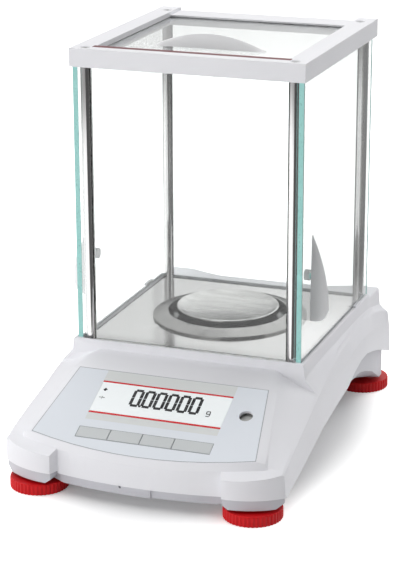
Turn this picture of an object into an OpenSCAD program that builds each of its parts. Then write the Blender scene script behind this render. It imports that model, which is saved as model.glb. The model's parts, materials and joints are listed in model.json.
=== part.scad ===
// Analytical balance with a glass draft shield.
// Millimetres. +X is the right-hand side, +Y the back, +Z up.
// The origin is on the bench, at the middle of the outline.

/* [Feet] */
// Distance between the left and right levelling feet
foot_span_x = 163.2; // [156:0.1:168]
// Distance between the front and rear levelling feet
foot_span_y = 278.4; // [270:0.1:282]
// Outside diameter of a levelling wheel
wheel_d = 42.8; // [36:0.1:44]
// Height of a levelling wheel
wheel_h = 8.5; // [6:0.1:9]
// Number of grip flutes round a wheel
flutes = 44; // [24:1:60]
// Diameter of the levelling screw
stem_d = 8; // [6:0.5:9]
// Diameter of the rubber pad under a wheel
pad_d = 24; // [16:1:28]
// Height of the rubber pad
pad_h = 3; // [2:0.1:4]
// How far a foot can be screwed out
foot_travel = 5; // [2:0.5:5]

/* [Base casting] */
// Height of the casting's underside above the bench, in the middle
base_z = 9; // [9:0.1:10.5]
// Height of the legs' underside above the bench
leg_z = 10.5; // [10:0.1:12]
// Half width of the casting
base_hw = 99.5; // [96:0.1:100]
// Wall of the casting
cast_wall = 3; // [2:0.1:4]
// X of the notch in the middle of the casting's front lip
notch_x = -12.7; // [-16:0.1:-8]
// X of the step right of the notch, where the lip's rebate begins
rebate_x = 10.4; // [6:0.1:20]
// Depth of the rebate
rebate_d = 1.2; // [0.5:0.1:1.4]

/* [Upper housing] */
// Height of the weighing deck
deck_z = 84.3; // [82:0.1:88]
// Half width of the deck
deck_hw = 90.6; // [90.2:0.1:92]
// Y of the deck's front face
deck_front = -53.2; // [-56:0.1:-53]
// Y of the back of the housing
body_back = 153; // [150:0.1:156]
// Y of the middle of the housing's bowed front
body_front = -157; // [-157:0.1:-156]
// Radius of the bow across the front
front_bow = 320; // [300:1:400]
// Wall of the moulding
wall = 2.5; // [1.8:0.1:3]
// Height of the front skirt's lower edge
skirt_z = 16.3; // [15:0.1:18]
// Height of the corner blocks' front edge
corner_z = 33; // [31:0.1:34]
// Radius of the corner blocks' bowed fronts
corner_r = 56.9; // [56:0.1:58]
// Half width of the housing over the corner blocks
corner_hw = 106.3; // [106:0.1:107]

/* [Console] */
// Slope of the control panel
panel_slope = 24.74; // [20:0.1:28]
// Half width of the panel at its lower edge
panel_low_hw = 85; // [80:0.1:85]
// Half width of the panel at its upper edge
panel_high_hw = 73.5; // [70:0.1:73.5]
// Length of the panel up its slope
panel_len = 70; // [66:0.1:70]
// How far the panel's lower edge bows out
panel_bow = 11.5; // [8:0.1:11.5]
// Thickness of the printed panel
panel_t = 0.8; // [0.5:0.1:1.2]
// Half width of the display window
window_hw = 50.4; // [40:0.1:52]
// Height of the display window
window_h = 33; // [26:0.1:36]
// Where the window starts up the slope
window_s = 26.2; // [24:0.1:28]
// Width of one key
key_w = 24; // [20:0.1:24.1]
// Width of the last key, at the right-hand end
last_key_w = 28.6; // [20:0.1:29]
// Distance between keys
key_pitch = 24.4; // [24.4:0.1:24.6]
// Height of one key
key_h = 10; // [8:0.1:10]
// Where the keys start up the slope
key_s = 1.9; // [1:0.1:4]
// How far a key travels
key_travel = 0.4; // [0.2:0.05:0.6]
// Diameter of the window over the spirit level
level_d = 10; // [8:0.1:12]

/* [Draft shield] */
// Half the distance between the left and right posts
post_x = 79.5; // [79:0.1:79.6]
// Y of the front posts
post_front = -45.3; // [-46:0.1:-45]
// Y of the rear posts
post_back = 119.4; // [118:0.1:120]
// Diameter of a post
post_d = 8; // [6:0.1:8]
// Height of the underside of the top frame
frame_z = 290.9; // [200:0.1:300]
// Depth of the top frame
frame_h = 13.5; // [12.5:0.1:15]
// Half width of the top frame
frame_hw = 89.3; // [89.1:0.1:90.4]
// Y of the top frame's front face
frame_front = -53.2; // [-54:0.1:-53]
// Y of the top frame's back face
frame_back = 134.8; // [132:0.1:140]
// Half width of the opening in the top frame
top_open_hw = 73.5; // [70:0.1:73.5]
// Thickness of the sliding doors' glass
door_t = 4; // [3:0.1:4]
// Thickness of the fixed panes
pane_t = 3; // [2:0.1:4]
// Gap on each side of a door in its groove
door_gap = 0.3; // [0.2:0.05:0.5]
// Thickness of the glass in the top door
top_glass_t = 3.8; // [3:0.1:4]

/* [Weighing parts] */
// Diameter of the weighing pan
pan_d = 80; // [60:1:88]
// Y of the pan's axis
pan_y = 40.4; // [30:0.1:50]
// Height of the pan's rim
pan_z = 91.7; // [91:0.1:96]
// Outside diameter of the draft ring
ring_d = 116.4; // [110:0.1:130]
// Diameter of the draft ring's opening
ring_hole_d = 92.2; // [92:0.1:96]
// Height of the draft ring above the floor plate
ring_h = 4.9; // [4:0.1:6]
// Thickness of the floor plate
plate_t = 1.2; // [0.8:0.1:1.5]
// Diameter of the pan's seat pin
seat_d = 10; // [8:0.1:12]
// Width of the weighing cell
cell_w = 44; // [36:1:50]
// Length of the weighing cell
cell_l = 92; // [80:1:96]
// Drop of the calibration weight
cal_drop = 4; // [2:0.1:5]

/* [Hidden] */
$fn = 64;
eps = 0.01;
white = [0.93, 0.93, 0.95];
steel = [0.66, 0.66, 0.66];
cast_grey = [0.62, 0.62, 0.65];

fit = 0.05;
foot_x = foot_span_x / 2;
foot_y = foot_span_y / 2;
stem_top = 31;
// The casting stays this far inside the housing's sides, so a wider casting widens both
skirt_reach = 6.8;
widen = (corner_hw - 106.3) + (base_hw - 99.5);
side_hw = 106.3 + widen;
tray_hw = side_hw - skirt_reach;
insert_d = stem_d + 4;
boss_d = insert_d + 5;
leg_top = 18.3;
boss_z = 24;
plate_z = deck_z - 1.5;
plate_front = deck_front + 1.4;
plate_back = post_back - 1.6;
rear_deck_z = deck_z - 3.5;
door_in = post_x + post_d / 2 + 0.3;
door_out = door_in + door_t;
door_low = rear_deck_z + 0.3;
door_high = frame_z + 2.7;
door_front = frame_front + 3;
door_back = post_back + 7;
groove_in = door_in - door_gap;
groove_out = door_out + door_gap;
pane_hw = post_x - post_d / 2 - 0.3;
handle_y = door_front + 24;
handle_z = frame_z - 147.1;
top_glass_z = frame_z + 5.7;
top_glass_hw = top_open_hw + 2.8;
top_front = frame_front + 15.2;
rear_rail = frame_back - 23.8;
trim_w = 5.2;
boss_x = 66;
boss_ys = [-128, 0, 104];
screw_r = 1.95;
key_count = 4;
level_at = [64.9, 42.1];
cell_y0 = pan_y + 12 - cell_l;
port_y = body_back - 14;
port_hw = 56;
port_z0 = 29.5;
port_h = 22;
cast_back = body_back - 4.5;

// ---------------------------------------------------------------- profiles
// Heights and half widths along Y of the lines that shape the housing.
ridge_z = [[-161, 30], [-147, 34.6], [-140, 37], [-133, 40], [-104, 48.6], [-84, 53.6],
    [-64, 59.8], [-44, 65.2], [-15, 70.3], [20, 72.4], [55, 72.8], [90, 73], [120, 70.5],
    [140, 66.5], [156, 61]];
ridge_x = [[-156, 105.4], [-133, 104.9], [-84, 103.4], [-44, 102.2], [-15, 100.5], [20, 98],
    [55, 95.9], [90, 94.6], [120, 95.2], [156, 98.8]];
edge_z = [[-161, 16], [-148, 16], [-139, 17.6], [-100, 23], [-45, 34.5], [-6, 39.4], [20, 42],
    [40, 48], [58, 51.2], [76, 50.8], [95, 46.5], [113, 41.4], [156, 26]];
edge_x = [[-156, 106.6], [-142, 106.4], [-130, 106.2], [-100, 105.2], [-45, 104.3], [60, 103.3], [156, 101]];
tier_z = [[-54, 71.8], [-44, 74.2], [0, 75.4], [90, 75.6], [120, 73.5], [156, 66]];
cast_z = [[-156, 10.5], [-122, 10.5], [-100, 21], [-45, 32.5], [-6, 37.2], [30, 38.5], [68, 36.3],
    [85, 32], [107, 23.8], [131, 10.5], [156, 10.5]];

function panel_at(y) = 42.2 + panel_t + (y + 144) * tan(panel_slope);
function console_z(y) = y < -80 ? panel_at(y)
    : panel_at(-80) + 5.2 * sin(90 * min(1, (y + 80) / 26));
function console_in(y) = 68.4 - 0.199 * (y + 55.6);
function front_at(x) = body_front + front_bow - sqrt(front_bow * front_bow - x * x);
function panel_edge(x) = 1 - panel_bow * (1 - pow(x / panel_low_hw, 2));
function corner_top(x, y) = corner_z + 0.38 * (y - body_front) - 0.1 * max(0, x - 84);

// The outer columns of half a section at y: wing, ridge and wall, starting beside the step f.
// t draws the section in by a wall.
function flank(f, y, t) =
    let (rx = lookup(y, ridge_x) + widen, rz = lookup(y, ridge_z), ex = lookup(y, edge_x) + widen,
        ez = lookup(y, edge_z))
    [[(f[0] + rx - t) / 2, y, (f[2] + rz - t) / 2 - 0.9], [rx - 1.6 - t, y, rz + 0.4 - t],
     [rx + 0.2 - t, y, rz - 1.2 - t], [ex * 0.7 + rx * 0.3 - t, y, rz * 0.6 + ez * 0.4 - t],
     [ex - t, y, ez]];

// Half sections from the middle of the top to the outer lower edge, as [x, y, z] points.
function console_half(y, t) =
    let (top = console_z(y) - t, xi = console_in(y) - t / 2, f = [xi + 7.2 - t / 2, y, top - 3.6])
    concat([for (k = [0 : 5]) [xi * k / 5, y, top]], [[xi + 6.2 - t / 2, y, top - 2.5], f], flank(f, y, t));
function deck_half(y, t, top) =
    let (xi = deck_hw - 1 - t, f = [deck_hw + 1.2 - t, y, lookup(y, tier_z) - t])
    concat([for (k = [0 : 5]) [xi * k / 5, y, top - t]], [[deck_hw - t, y, top - 1 - t], f], flank(f, y, t));
function wider(x) = x + widen * min(1, max(0, x - 84) / 20);
function flat_half(y, z) = [for (x = [0, 17.5, 35, 52.5, 70, 87.5, 91.5, 93.5, 99, 103.6, 105.4, 106, 106.4])
    [wider(x), y, x > 106.2 ? skirt_z - 0.3 : x > 105.6 ? z - 8 : z - max(0, x - 84) * 0.1]];
// The foot and the upper edge of the border in front of the panel follow its bowed edge.
border_foot = concat(
    [for (k = [0 : 5]) let (x = 17.5 * k, y = front_at(x)) [x, y, corner_top(x, y)]],
    [for (p = [[91.5, -143.4], [93.5, -142], [99, -141], [103.6, -140.5]])
        [wider(p[0]), p[1], corner_top(p[0], p[1])]],
    [for (p = [[105.4, 35.6], [106, 27], [106.5, 17]]) [wider(p[0]), -140.5, p[1]]]);
border_edge = concat(
    [for (k = [0 : 5]) let (x = 17.1 * k, y = -144.9 + panel_edge(x) * cos(panel_slope)) [x, y, panel_at(y)]],
    [[wider(91.3), -141.8, panel_at(-141.8) - 2.5], [wider(92.7), -141, 38.4], [wider(98.7), -139.4, 37.6]],
    [for (p = [[103.4, 37.7], [105, 36.2], [106, 28.5], [106.5, 17.6]]) [wider(p[0]), -138.8, p[1]]]);

function cast_half(y, t) =
    let (cz = lookup(y, cast_z), top = lookup(y, edge_z) + (t > 0 ? 20 : 3),
        hw = min(tray_hw, lookup(y, edge_x) + widen - wall - 0.8) - t)
    [[0, y, top], [hw, y, top], [hw, y, cz + t + 1], [66 - t / 2, y, leg_z + t + 0.5],
     [58 - t / 2, y, base_z + t]];

// A closed ring from half a section. low, when set, drops its lower edge to open it downwards.
function ring_of(half, low) = let (e = half[len(half) - 1]) concat(half,
    low ? [[e[0], e[1], -20], [-e[0], e[1], -20]] : [],
    [for (i = [len(half) - 1 : -1 : 1]) [-half[i][0], half[i][1], half[i][2]]]);

// A solid through rings that all have the same number of points, closed by a fan at each end.
module loft(rings) {
    n = len(rings[0]);
    m = len(rings);
    ends = [for (r = [rings[0], rings[m - 1]]) [for (k = [0 : 2]) [for (p = r) p[k]] * [for (p = r) 1 / n]]];
    polyhedron(
        points = concat([for (r = rings) for (p = r) p], ends),
        faces = concat(
            [for (i = [0 : n - 1]) [i, (i + 1) % n, m * n]],
            [for (j = [0 : m - 2]) for (i = [0 : n - 1]) each
                let (a = j * n + i, b = j * n + (i + 1) % n)
                [[a, a + n, b], [b, a + n, b + n]]],
            [for (i = [0 : n - 1]) [(m - 1) * n + (i + 1) % n, (m - 1) * n + i, m * n + 1]]),
        convexity = 10);
}

console_ys = [-134, -128, -120, -112, -104, -94, -84, -80, -75, -70, -64, -58];
deck_ys = [-48, -44, -30, -15, 2, 20, 30, 40, 49, 58, 67, 76, 86, 95, 104, 113, 122];
rear_ys = [125.5, 132, 140, 148];
cast_ys = [-156, -139, -122, -111, -100, -73, -45, -25, -6, 12, 30, 50, 68, 85, 96, 107, 119, 131,
    140, 152];

// Sloping frame of the control panel: x across, y up the slope, z out of the panel.
module on_panel() {
    translate([0, -144, 42.2]) rotate([panel_slope, 0, 0]) children();
}

module at_feet() {
    for (sx = [-1, 1], sy = [-1, 1]) translate([sx * foot_x, sy * foot_y, 0]) children();
}

module at_posts() {
    for (sx = [-1, 1]) for (y = [post_front, post_back]) translate([sx * post_x, y, 0]) children();
}

module at_bosses() {
    for (sx = [-1, 1]) for (y = boss_ys) translate([sx * boss_x, y, 0]) children();
}

// ---------------------------------------------------------------- housing
// Plan of the housing, drawn in by t: a bowed front between two rounded corner blocks.
function corner_arc(t) = [for (i = [0 : 10]) let (a = -91.5 + 4.6 * i)
    [66.2 + widen + (corner_r - t) * cos(a), -101.6 + (corner_r - t) * sin(a)]];
module body_plan(t) {
    half = concat([for (x = [7 : 11 : 51]) [x, front_at(x) + t], [62 + t, front_at(62) + t]],
        corner_arc(t), [[side_hw - t, -141.5 + t * 0.75], [side_hw - t, body_back - t]]);
    n = len(half);
    polygon(concat(half, [for (i = [n - 1 : -1 : 0]) [-half[i][0], half[i][1]]]));
}

// Plan of one leg, which follows the corner block above it.
module leg_plan(t) {
    polygon(concat([[62 + t, -128], [62 + t, front_at(62)]], corner_arc(t),
        [[side_hw - t, -141.5 + t * 0.75], [tray_hw - t, -135], [tray_hw - t, -128]]));
}

module housing_shell() {
    difference() {
        intersection() {
            loft(concat([ring_of(flat_half(-161, corner_z - 1.5)), ring_of(border_foot), ring_of(border_edge)],
                [for (y = console_ys) ring_of(console_half(y, 0))],
                [ring_of(console_half(deck_front - 0.3, 0))],
                [for (y = concat([deck_front], deck_ys)) ring_of(deck_half(y, 0, deck_z))],
                [for (y = concat(rear_ys, [body_back + 1])) ring_of(deck_half(y, 0, rear_deck_z))]));
            translate([0, 0, skirt_z]) linear_extrude(80) body_plan(0);
        }
        intersection() {
            loft(concat([ring_of(flat_half(-161, corner_z - wall - 1), true),
                ring_of(flat_half(-146.5, corner_z - wall + 2), true)],
                [for (y = console_ys) ring_of(console_half(y, wall), true)],
                [ring_of(console_half(deck_front + wall - 0.3, wall), true)],
                [for (y = concat([deck_front + wall], deck_ys)) ring_of(deck_half(y, wall, deck_z - 3.8), true)],
                [for (y = concat(rear_ys, [body_back + 1])) ring_of(deck_half(y, wall, rear_deck_z - 5.5), true)]));
            linear_extrude(90) body_plan(wall);
        }
        for (s = [0, 1]) mirror([s, 0, 0]) translate([62, -170, 0]) cube([60, 31, leg_top]);
    }
}

module upper_housing() {
    color(white) difference() {
        union() {
            housing_shell();
            intersection() {
                at_posts() translate([0, 0, 62]) cylinder(h = plate_z - 64, r = post_d / 2 + 3.5);
                translate([-100, -60, 40]) cube([200, 200, 40]);
            }
            for (sx = [-1, 1]) translate([sx * boss_x, boss_ys[0], boss_z]) cylinder(h = 23, r = 4.5);
            for (sx = [-1, 1], i = [1, 2])
                translate([sx * boss_x, boss_ys[i], boss_z]) cylinder(h = 55, r = 4.5);
        }
        // Recess for the floor plate and the hole for the pan's seat
        translate([-groove_in + 0.3, plate_front, plate_z - plate_t])
            cube([2 * groove_in - 0.6, plate_back - plate_front, 10]);
        translate([0, pan_y, 60]) cylinder(h = 30, r = 16);
        // Sockets of the posts
        at_posts() translate([0, 0, 65]) cylinder(h = 30, r = post_d / 2 + fit);
        at_posts() translate([0, 0, 50]) cylinder(h = 30, r = 2.2);
        // Grooves that the side doors run in, open at the back
        for (s = [-1, 1]) translate([s > 0 ? groove_in : -groove_out, door_front - 0.3, rear_deck_z])
            cube([groove_out - groove_in, 240, 20]);
        // Slot that the rear glass stands in
        translate([-pane_hw - 0.2, post_back - pane_t / 2 - 0.2, rear_deck_z - 0.1])
            cube([2 * pane_hw + 0.4, pane_t + 0.4, 20]);
        // Shallow cut-away in the top of the back, for cables
        translate([0, 137 + 160, 77.3]) cylinder(h = 30, r = 160, $fn = 180);
        // Back wall opening for the sockets
        translate([-port_hw, body_back - 10, port_z0]) cube([2 * port_hw, 20, port_h]);
        // Pilot holes for the housing screws
        at_bosses() translate([0, 0, boss_z - 1]) cylinder(h = 18, r = 2);
        // Console: panel recess, window, keys, level
        on_panel() {
            linear_extrude(10) panel_plan(-0.1);
            translate([-window_hw + 3, window_s + 2.5, -10]) cube([2 * window_hw - 6, window_h - 5, 20]);
            for (i = [0 : key_count - 1]) translate([key_at(i), key_s + key_h / 2, -12])
                cylinder(h = 20, r = 3);
            translate([level_at[0], level_at[1], -10]) cylinder(h = 20, r = level_d / 2);
        }
    }
}

module base_casting() {
    color(cast_grey) difference() {
        union() {
            difference() {
                intersection() {
                    loft([for (y = cast_ys) ring_of(cast_half(y, 0))]);
                    linear_extrude(90) cast_plan(0);
                }
                intersection() {
                    loft([for (y = cast_ys) ring_of(cast_half(y, cast_wall))]);
                    linear_extrude(90) cast_plan(cast_wall);
                }
                // The front wall stays under the housing's skirt
                for (s = [0, 1]) mirror([s, 0, 0]) translate([61.5, -170, 0]) cube([60, 22, 60]);
            }
            for (s = [0, 1]) mirror([s, 0, 0]) front_leg();
            at_feet() translate([0, 0, leg_z]) cylinder(h = 18.5, r = boss_d / 2);
            at_bosses() translate([0, 0, leg_z]) cylinder(h = boss_z - leg_z - 0.1, r = 6);
            at_cell_feet() translate([0, 0, base_z]) cylinder(h = 11, r = 5);
        }
        at_feet() translate([0, 0, leg_z - 2]) cylinder(h = 40, r = insert_d / 2 + 0.03);
        at_bosses() translate([0, 0, base_z - 5]) cylinder(h = 30, r = 2.2);
        at_bosses() translate([0, 0, base_z - 5]) cylinder(h = 9.5, r = 4);
        at_cell_feet() translate([0, 0, base_z - 5]) cylinder(h = 30, r = 2.7);
        at_cell_feet() translate([0, 0, base_z - 5]) cylinder(h = 9, r = 4.7);
        translate([0, pan_y, base_z - 1]) cylinder(h = 20, r = 11);
        // Notch in the front lip, and the shallow rebate right of it
        translate([notch_x, front_at(notch_x) + 2.6 + cast_wall * 0.66, 0]) rotate([90, 0, 0]) linear_extrude(12)
            polygon([[-2.5, 20], [-2.5, 16.3], [0.2, 13], [2.2, 16.3], [2.2, 20]]);
        linear_extrude(20) difference() {
            polygon([[rebate_x, -170], [rebate_x, front_at(rebate_x) + 2.5], [rebate_x + rebate_d, -148],
                [61.4, -142], [61.4, -170]]);
            cast_plan(rebate_d);
        }
        // Opening in the back wall behind the sockets
        translate([-port_hw, 140, port_z0]) cube([2 * port_hw, 20, port_h]);
    }
}

module at_cell_feet() {
    for (x = [-26, 26], y = [cell_y0 + 8, pan_y + 6]) translate([x, y, 0]) children();
}

module cast_plan(t) {
    r = 16 - t;
    half = concat([for (x = [7 : 11 : 62]) [x, front_at(x) + 2.6 + t]], [[tray_hw - t, -138 + t]],
        [for (a = [0 : 10 : 90]) [tray_hw - 16 + r * cos(a), cast_back - 16 + r * sin(a)]]);
    n = len(half);
    polygon(concat(half, [for (i = [n - 1 : -1 : 0]) [-half[i][0], half[i][1]]]));
}

module front_leg() {
    difference() {
        union() {
            intersection() {
                translate([0, 0, leg_z]) linear_extrude(leg_top - leg_z) leg_plan(1);
                translate([0, -120, 0]) rotate([90, 0, 0]) linear_extrude(50)
                    polygon([[62, leg_z + 5], [69, leg_z], [tray_hw + 1, leg_z], [side_hw + 0.7, leg_z + 5],
                        [side_hw + 0.7, 20], [62, 20]]);
            }
        }
        translate([0, 0, leg_z + 3]) linear_extrude(10) intersection() {
            leg_plan(4);
            translate([64, -153]) square([tray_hw - 63.5, 22]);
        }
    }
}

// ---------------------------------------------------------------- console
// Outline of the panel, drawn in by t, in the sloping frame.
module panel_plan(t) {
    polygon(concat([[-panel_high_hw + t, panel_len - t]],
        [for (i = [0 : 10]) let (x = (i - 5) / 5 * (panel_low_hw - t)) [x, t + panel_edge(x)]],
        [[panel_high_hw - t, panel_len - t]]));
}

// Left edge, width and middle of key i, counted from the left.
function key_left(i) = i * key_pitch - 51.3;
function key_width(i) = i == key_count - 1 ? last_key_w : key_w;
function key_at(i) = key_left(i) + key_width(i) / 2;

module panel_overlay() {
    color([0.84, 0.86, 0.9]) on_panel() difference() {
        linear_extrude(panel_t) panel_plan(0);
        translate([-window_hw, window_s, -1]) cube([2 * window_hw, window_h, 5]);
        for (i = [0 : key_count - 1]) translate([key_left(i), key_s, -1]) cube([key_width(i), key_h, 5]);
        translate([level_at[0], level_at[1], -1]) cylinder(h = 5, r = level_d / 2);
    }
}

module display_window() {
    color([0.85, 0.9, 0.88, 0.6]) on_panel() translate([-window_hw + 0.1, window_s + 0.1, 0])
        cube([2 * window_hw - 0.2, window_h - 0.2, panel_t]);
}

module lcd_module() {
    color([0.25, 0.27, 0.28]) on_panel() translate([-window_hw - 2, window_s - 2.5, -10.4])
        cube([2 * window_hw + 4, window_h + 5, 6]);
}

module display_board() {
    color("darkgreen") on_panel() difference() {
        union() {
            translate([-window_hw - 9.6, -1, -12.4]) cube([2 * window_hw + 19.2, panel_len - 4, 1.6]);
            for (i = [0 : key_count - 1]) translate([key_at(i) - 3, key_s + key_h / 2 - 3, -10.81])
                cube([6, 6, 2]);
        }
        translate([level_at[0], level_at[1], -20]) cylinder(h = 30, r = 8.5);
    }
}

module key_cap(i) {
    color([0.88, 0.9, 0.93]) on_panel() {
        translate([key_left(i) + 0.15, key_s + 0.15, 0.5]) cube([key_width(i) - 0.3, key_h - 0.3, 0.4]);
        translate([key_at(i), key_s + key_h / 2, -8.3]) cylinder(h = 9, r = 1.8);
    }
}

module key_1() { key_cap(0); }
module key_2() { key_cap(1); }
module key_3() { key_cap(2); }
module key_4() { key_cap(3); }

module spirit_level() {
    color([0.75, 0.85, 0.4]) on_panel() translate([level_at[0], level_at[1], -11]) {
        cylinder(h = 7, r = level_d / 2 + 2.5);
        cylinder(h = 7.6, r = level_d / 2 - 0.3);
    }
}

// ---------------------------------------------------------------- weighing parts
module floor_plate() {
    color(steel) difference() {
        translate([-groove_in + 0.6, plate_front + 0.3, plate_z - plate_t])
            cube([2 * groove_in - 1.2, plate_back - plate_front - 0.6, plate_t]);
        translate([0, pan_y, plate_z - 10]) cylinder(h = 20, r = 14);
        at_posts() translate([0, 0, plate_z - 10]) cylinder(h = 20, r = post_d / 2 + 0.3);
    }
    color(steel) translate([0, pan_y, plate_z - plate_t]) difference() {
        cylinder(h = plate_t + 2, r = 14.01);
        translate([0, 0, -1]) cylinder(h = 10, r = 12.6);
    }
}

module draft_ring() {
    r = ring_d / 2;
    ri = ring_hole_d / 2;
    color(steel) translate([0, pan_y, plate_z + 0.1]) rotate_extrude($fn = 96)
        polygon([[r - 1.4, 0], [r, 0], [r, 1.6], [ri + 0.8, ring_h], [ri, ring_h], [ri, ring_h - 1.8],
            [r - 1.4, 0.4]]);
}

module weighing_pan() {
    r = pan_d / 2;
    color(steel) translate([0, pan_y, 0]) {
        rotate_extrude($fn = 96) polygon([[0, pan_z - 3], [r - 6, pan_z - 3], [r - 1.6, pan_z - 1.4],
            [r - 1.6, pan_z - 4.6], [r, pan_z - 4.6], [r, pan_z - 0.5], [r - 0.8, pan_z],
            [r - 1.8, pan_z - 0.2], [r - 6, pan_z - 1.6], [0, pan_z - 1.6]]);
        translate([0, 0, pan_z - 8.5]) difference() {
            cylinder(h = 6, r = seat_d / 2 + 3);
            translate([0, 0, -1]) cylinder(h = 5.6, r = seat_d / 2 + fit);
        }
    }
}

module pan_support() {
    color("silver") translate([0, pan_y, 0]) {
        translate([0, 0, 73.3]) cylinder(h = pan_z - 4 - 73.3, r = seat_d / 2);
        translate([0, 0, 72.5]) cylinder(h = 7.5, r = 11);
    }
}

module weighing_cell() {
    top = 72.4;
    color([0.72, 0.73, 0.75]) difference() {
        translate([-cell_w / 2, cell_y0, 34]) cube([cell_w, cell_l, top - 34]);
        // Parallel flexures and the coil bay between them
        translate([-cell_w, cell_y0 + 22, 39]) cube([2 * cell_w, cell_l - 44, 3]);
        translate([-cell_w, cell_y0 + 22, top - 8]) cube([2 * cell_w, cell_l - 44, 3]);
        for (y = [cell_y0 + 22, cell_y0 + cell_l - 22]) translate([-cell_w, y, 40.5])
            rotate([0, 90, 0]) cylinder(h = 2 * cell_w, r = 3);
        for (y = [cell_y0 + 22, cell_y0 + cell_l - 22]) translate([-cell_w, y, top - 6.5])
            rotate([0, 90, 0]) cylinder(h = 2 * cell_w, r = 3);
        translate([0, cell_y0 + cell_l / 2, 44]) cylinder(h = 20, r = 15);
    }
    color([0.3, 0.3, 0.32]) translate([0, cell_y0 + cell_l / 2, 43.9]) cylinder(h = 18, r = 13);
}

module cell_bracket() {
    color([0.5, 0.52, 0.55]) {
        difference() {
            translate([-34, cell_y0 - 2, base_z + 11.1]) cube([68, cell_l + 6, 8]);
            translate([0, pan_y, base_z]) cylinder(h = 30, r = 12);
            at_cell_feet() cylinder(h = 60, r = 2.55);
        }
        translate([-cell_w / 2, cell_y0, base_z + 19]) cube([cell_w, 18, 34 - base_z - 19]);
    }
}

module cell_screws() {
    color("dimgray") at_cell_feet() translate([0, 0, base_z]) {
        translate([0, 0, 0.5]) cylinder(h = 3.4, r = 4.3);
        translate([0, 0, 3]) cylinder(h = 15, r = 2.5);
    }
}

cal_y = pan_y + 28;
module calibration_weight() {
    color([0.85, 0.85, 0.82]) translate([-24, cal_y, 56]) rotate([0, 90, 0]) cylinder(h = 48, r = 9);
}

module calibration_lifter() {
    color([0.2, 0.2, 0.22]) difference() {
        translate([-20, cal_y - 8, 40]) cube([40, 25, 15]);
        translate([-30, cal_y, 56]) rotate([0, 90, 0]) cylinder(h = 60, r = 9.1);
        translate([0, cal_y + 12, 30]) cylinder(h = 40, r = 3.05);
    }
}

module calibration_drive() {
    color([0.35, 0.37, 0.4]) {
        translate([-16, cal_y - 8, base_z + 3.1]) cube([32, 30, 19]);
        translate([0, cal_y + 12, base_z + 20]) cylinder(h = 28, r = 3);
    }
}

module main_board() {
    color("darkgreen") {
        difference() {
            translate([-50, -138, 23]) cube([100, 76, 1.6]);
            at_board() translate([0, 0, 20]) cylinder(h = 10, r = 1.7);
        }
        translate([-30, -120, 24.5]) cube([14, 14, 2]);
        translate([5, -118, 24.5]) cube([20, 20, 8]);
        translate([-40, -78, 24.5]) cube([30, 10, 6]);
        for (i = [0 : 3]) translate([12 + 8 * i, -80, 24.5]) cylinder(h = 8, r = 2.6);
    }
}

module at_board() {
    for (x = [-46, 46], y = [-134, -66]) translate([x, y, 0]) children();
}

module board_screws() {
    color("silver") at_board() {
        difference() {
            translate([0, 0, base_z + cast_wall + 0.05]) cylinder(h = 22.95 - base_z - cast_wall, r = 3);
            translate([0, 0, base_z + 5]) cylinder(h = 30, r = 1.55);
        }
        translate([0, 0, 24.6]) cylinder(h = 1.8, r = 2.8);
        translate([0, 0, 18]) cylinder(h = 7, r = 1.5);
    }
}

// ---------------------------------------------------------------- sockets at the back
module rear_board() {
    color("darkgreen") translate([-60, port_y - 1.6, 24]) cube([120, 1.6, 34]);
}

module port_plate() {
    color([0.2, 0.2, 0.22]) difference() {
        translate([-port_hw - 3, body_back - 4.4, port_z0 - 3]) cube([2 * port_hw + 6, 1.8, port_h + 6]);
        translate([-50.3, body_back - 5, 32.7]) cube([10.6, 5, 12.6]);
        translate([-9.5, body_back - 5, 35.1]) cube([19, 5, 9.8]);
        for (x = [-12.5, 12.5]) translate([x, body_back - 5, 40]) rotate([-90, 0, 0]) cylinder(h = 5, r = 3.2);
        translate([33.7, body_back - 5, 33.7]) cube([12.6, 5, 11.6]);
    }
}

module power_inlet() {
    color([0.12, 0.12, 0.13]) difference() {
        translate([-50, port_y, 33]) cube([10, 13, 12]);
        translate([-45, port_y + 4, 39]) rotate([-90, 0, 0]) cylinder(h = 12, r = 3.2);
    }
    color("silver") translate([-45, port_y + 3.9, 39]) rotate([-90, 0, 0]) cylinder(h = 8, r = 1);
}

module serial_port() {
    color("silver") translate([0, 0, 40]) difference() {
        union() {
            translate([-15.4, port_y, -6.2]) cube([30.8, 7.5, 12.4]);
            translate([-9.2, port_y, -4.6]) cube([18.4, 13, 9.2]);
        }
        difference() {
            translate([-8.4, port_y + 8, -3.9]) cube([16.8, 10, 7.8]);
        }
        for (x = [-12.5, 12.5]) translate([x, port_y - 1, 0]) rotate([-90, 0, 0]) cylinder(h = 20, r = 1.6);
    }
    color([0.1, 0.1, 0.1]) translate([-7.4, port_y + 7.9, 37]) cube([14.8, 4.5, 6]);
}

module port_sockets() {
    color("silver") for (x = [-12.5, 12.5]) translate([x, port_y, 40]) rotate([-90, 0, 0]) difference() {
        union() {
            translate([0, 0, 7.55]) cylinder(h = 5, r = 2.6, $fn = 6);
            translate([0, 0, 1]) cylinder(h = 7, r = 1.5);
        }
        translate([0, 0, 6.5]) cylinder(h = 8, r = 1.25);
    }
}

module usb_port() {
    color("silver") translate([34, port_y, 34]) difference() {
        cube([12, 13, 11]);
        translate([1.2, 4, 1.2]) cube([9.6, 12, 8.6]);
    }
    color("black") translate([38, port_y + 3.9, 37.6]) cube([4, 7, 4]);
}

module hook_cover() {
    color([0.55, 0.55, 0.58]) translate([0, pan_y, base_z]) {
        cylinder(h = 2, r = 10.8);
        cylinder(h = 5, r = 9);
    }
}

// ---------------------------------------------------------------- draft shield
module shield_posts() {
    color("gainsboro") at_posts() difference() {
        translate([0, 0, 65.2]) cylinder(h = frame_z + 4 - 65.2, r = post_d / 2);
        translate([0, 0, 60]) cylinder(h = 16, r = 2);
        translate([0, 0, frame_z - 9]) cylinder(h = 16, r = 2);
    }
}

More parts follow.
